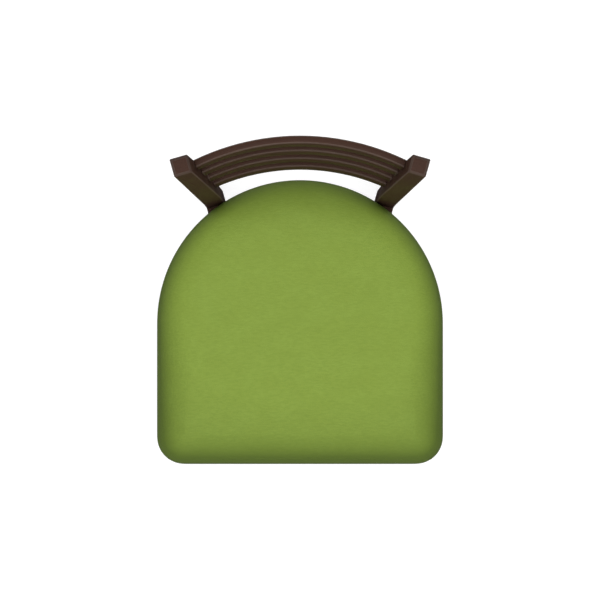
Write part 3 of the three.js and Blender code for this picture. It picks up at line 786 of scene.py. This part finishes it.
# Foam turns yellow with age. Its cut face is matt, with open cells about 1 mm across.
foam_yellow, shader = new_material("polyurethane_foam", 0.95)
place = add_node(foam_yellow, "ShaderNodeTexCoord").outputs["Object"]
colour, pores = laid_over(foam_yellow, FOAM_DEEP, FOAM_PALE, place, (900, 900, 900), 2.0)
bump = add_node(foam_yellow, "ShaderNodeBump", {"Strength": 0.6, "Distance": 0.0004}, {"Height": pores})
link(shader, {"Base Color": colour, "Normal": bump.outputs[0]})
foam.data.materials.append(foam_yellow)
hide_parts("seat_foam")
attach(foam, "root")

# ---- Dust cover --------------------------------------------------------------------------------
# Thin black spunbonded polypropylene, cut a little smaller than the seat and stapled up over the
# raw edge of the vinyl. It sags slightly in the middle.

DUST_INSET = 0.019
DUST_THICK = 0.0003
DUST_SAG = 0.0016
DUST_TAUT = 0.06            # it is level to this far inside the seat's rim, and sags fully 90 mm on
DUST_LOOSE = 0.09
DUST_RIPPLE = 0.0003
SPUNBOND_DARK = "1B1B1D"
SPUNBOND_PALE = "2A2A2D"
SPUNBOND_BOND = "131315"

# Spunbonded polypropylene: matt black fibres, melted together at a grid of dots 1.2 mm apart.
spunbond, shader = new_material("black_spunbonded_polypropylene", 0.9)
place = add_node(spunbond, "ShaderNodeTexCoord").outputs["Object"]
colour, _ = laid_over(spunbond, SPUNBOND_DARK, SPUNBOND_PALE, place, (900, 220, 900), 4.0)
spots = {"Scale": 800.0, "Randomness": 0.15}
bonds = add_node(spunbond, "ShaderNodeTexVoronoi", spots, {"Vector": place}).outputs[0]
disc = {"From Min": 0.15, "From Max": 0.3}
dots = add_node(spunbond, "ShaderNodeMapRange", disc, {"Value": bonds}).outputs[0]
melted = {"data_type": "RGBA", 6: linear(SPUNBOND_BOND)}
colour = add_node(spunbond, "ShaderNodeMix", melted, {0: dots, 7: colour}).outputs[2]
bump = add_node(spunbond, "ShaderNodeBump", {"Strength": 0.5, "Distance": 0.0001}, {"Height": dots})
link(shader, {"Base Color": colour, "Normal": bump.outputs[0]})

low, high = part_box("dust_cover")
dust = seat_patch("dust_cover_stapled", DUST_INSET)
for vertex in dust.data.vertices:
    x, y = vertex.co.xy
    free = max(0, min(1, (depth_inside(x, y) - DUST_TAUT) / DUST_LOOSE))
    sag = DUST_SAG * free * free * (3 - 2 * free)
    ripple = DUST_RIPPLE * free * math.sin(38 * x + 21 * y) * math.sin(45 * y - 17 * x)
    vertex.co.z = (low[2] + high[2]) / 2 - sag + ripple
thick = dust.modifiers.new("thick", "SOLIDIFY")
thick.thickness = DUST_THICK
thick.offset = 0
bpy.ops.object.modifier_apply(modifier=thick.name)
bpy.ops.object.shade_smooth_by_angle(angle=SMOOTH_ANGLE)
dust.data.materials.append(spunbond)
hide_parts("dust_cover")
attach(dust, "root")

# ---- Staples -----------------------------------------------------------------------------------
# Upholstery staples of flat steel wire, 10 mm across the crown. They go through the dust cover and
# the vinyl into the board, along the front and both sides.

STAPLE_WIDE = 0.010
WIRE = 0.0006
WIRE_FLAT = 1.4             # how many times as wide as it is thick
WIRE_ROUND = 0.0001
STAPLE_LEG = 0.006
STAPLE_INSET = 0.0215
STAPLE_GAP = 0.00005
STAPLES = {                 # along each side of the rim: the shares where they start and end, and how many
    "front": (0.14, 0.86, 11),
    "left": (0.10, 0.78, 10),
    "right": (0.10, 0.78, 10),
}

bpy.ops.object.select_all(action="DESELECT")
bpy.ops.mesh.primitive_cube_add(size=1)
staple = bpy.context.object
staple.scale = (STAPLE_WIDE, WIRE * WIRE_FLAT, WIRE)
bpy.ops.object.transform_apply(location=True, rotation=True, scale=True)
bpy.ops.object.mode_set(mode="EDIT")
for x in (-1, 1):
    bpy.ops.mesh.select_all(action="SELECT")
    bpy.ops.mesh.bisect(plane_co=(x * (STAPLE_WIDE / 2 - WIRE), 0, 0), plane_no=(1, 0, 0))
select_only(staple, lambda middle, normal: normal.z > 0.9 and abs(middle.x) > STAPLE_WIDE / 2 - WIRE)
bpy.ops.mesh.extrude_region_move(TRANSFORM_OT_translate={"value": (0, 0, STAPLE_LEG)})
bpy.ops.mesh.select_all(action="SELECT")
bpy.ops.mesh.bevel(offset=WIRE_ROUND, segments=2, affect="EDGES")
bpy.ops.object.mode_set(mode="OBJECT")

staple_z = low[2] - WIRE / 2 - STAPLE_GAP
copies = []
for section, (first, final, count) in STAPLES.items():
    for number in range(count):
        rim = rim_point(section, first + (final - first) * number / (count - 1))
        out = outward(*rim)
        copy = bpy.data.objects.new("staple", staple.data.copy())
        scene.collection.objects.link(copy)
        turned = Vector((out.x, out.y, 0)).to_track_quat("Y", "Z").to_matrix().to_4x4()
        turned.translation = (*(rim - STAPLE_INSET * out), staple_z)
        copy.data.transform(turned)
        copies.append(copy)
bpy.data.objects.remove(staple)
bpy.ops.object.select_all(action="DESELECT")
for copy in copies:
    copy.select_set(True)
bpy.context.view_layer.objects.active = copies[0]
bpy.ops.object.join()
staples = bpy.context.object
staples.name = "dust_cover_staples"
staples.data.materials.append(zinc)
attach(staples, "root")
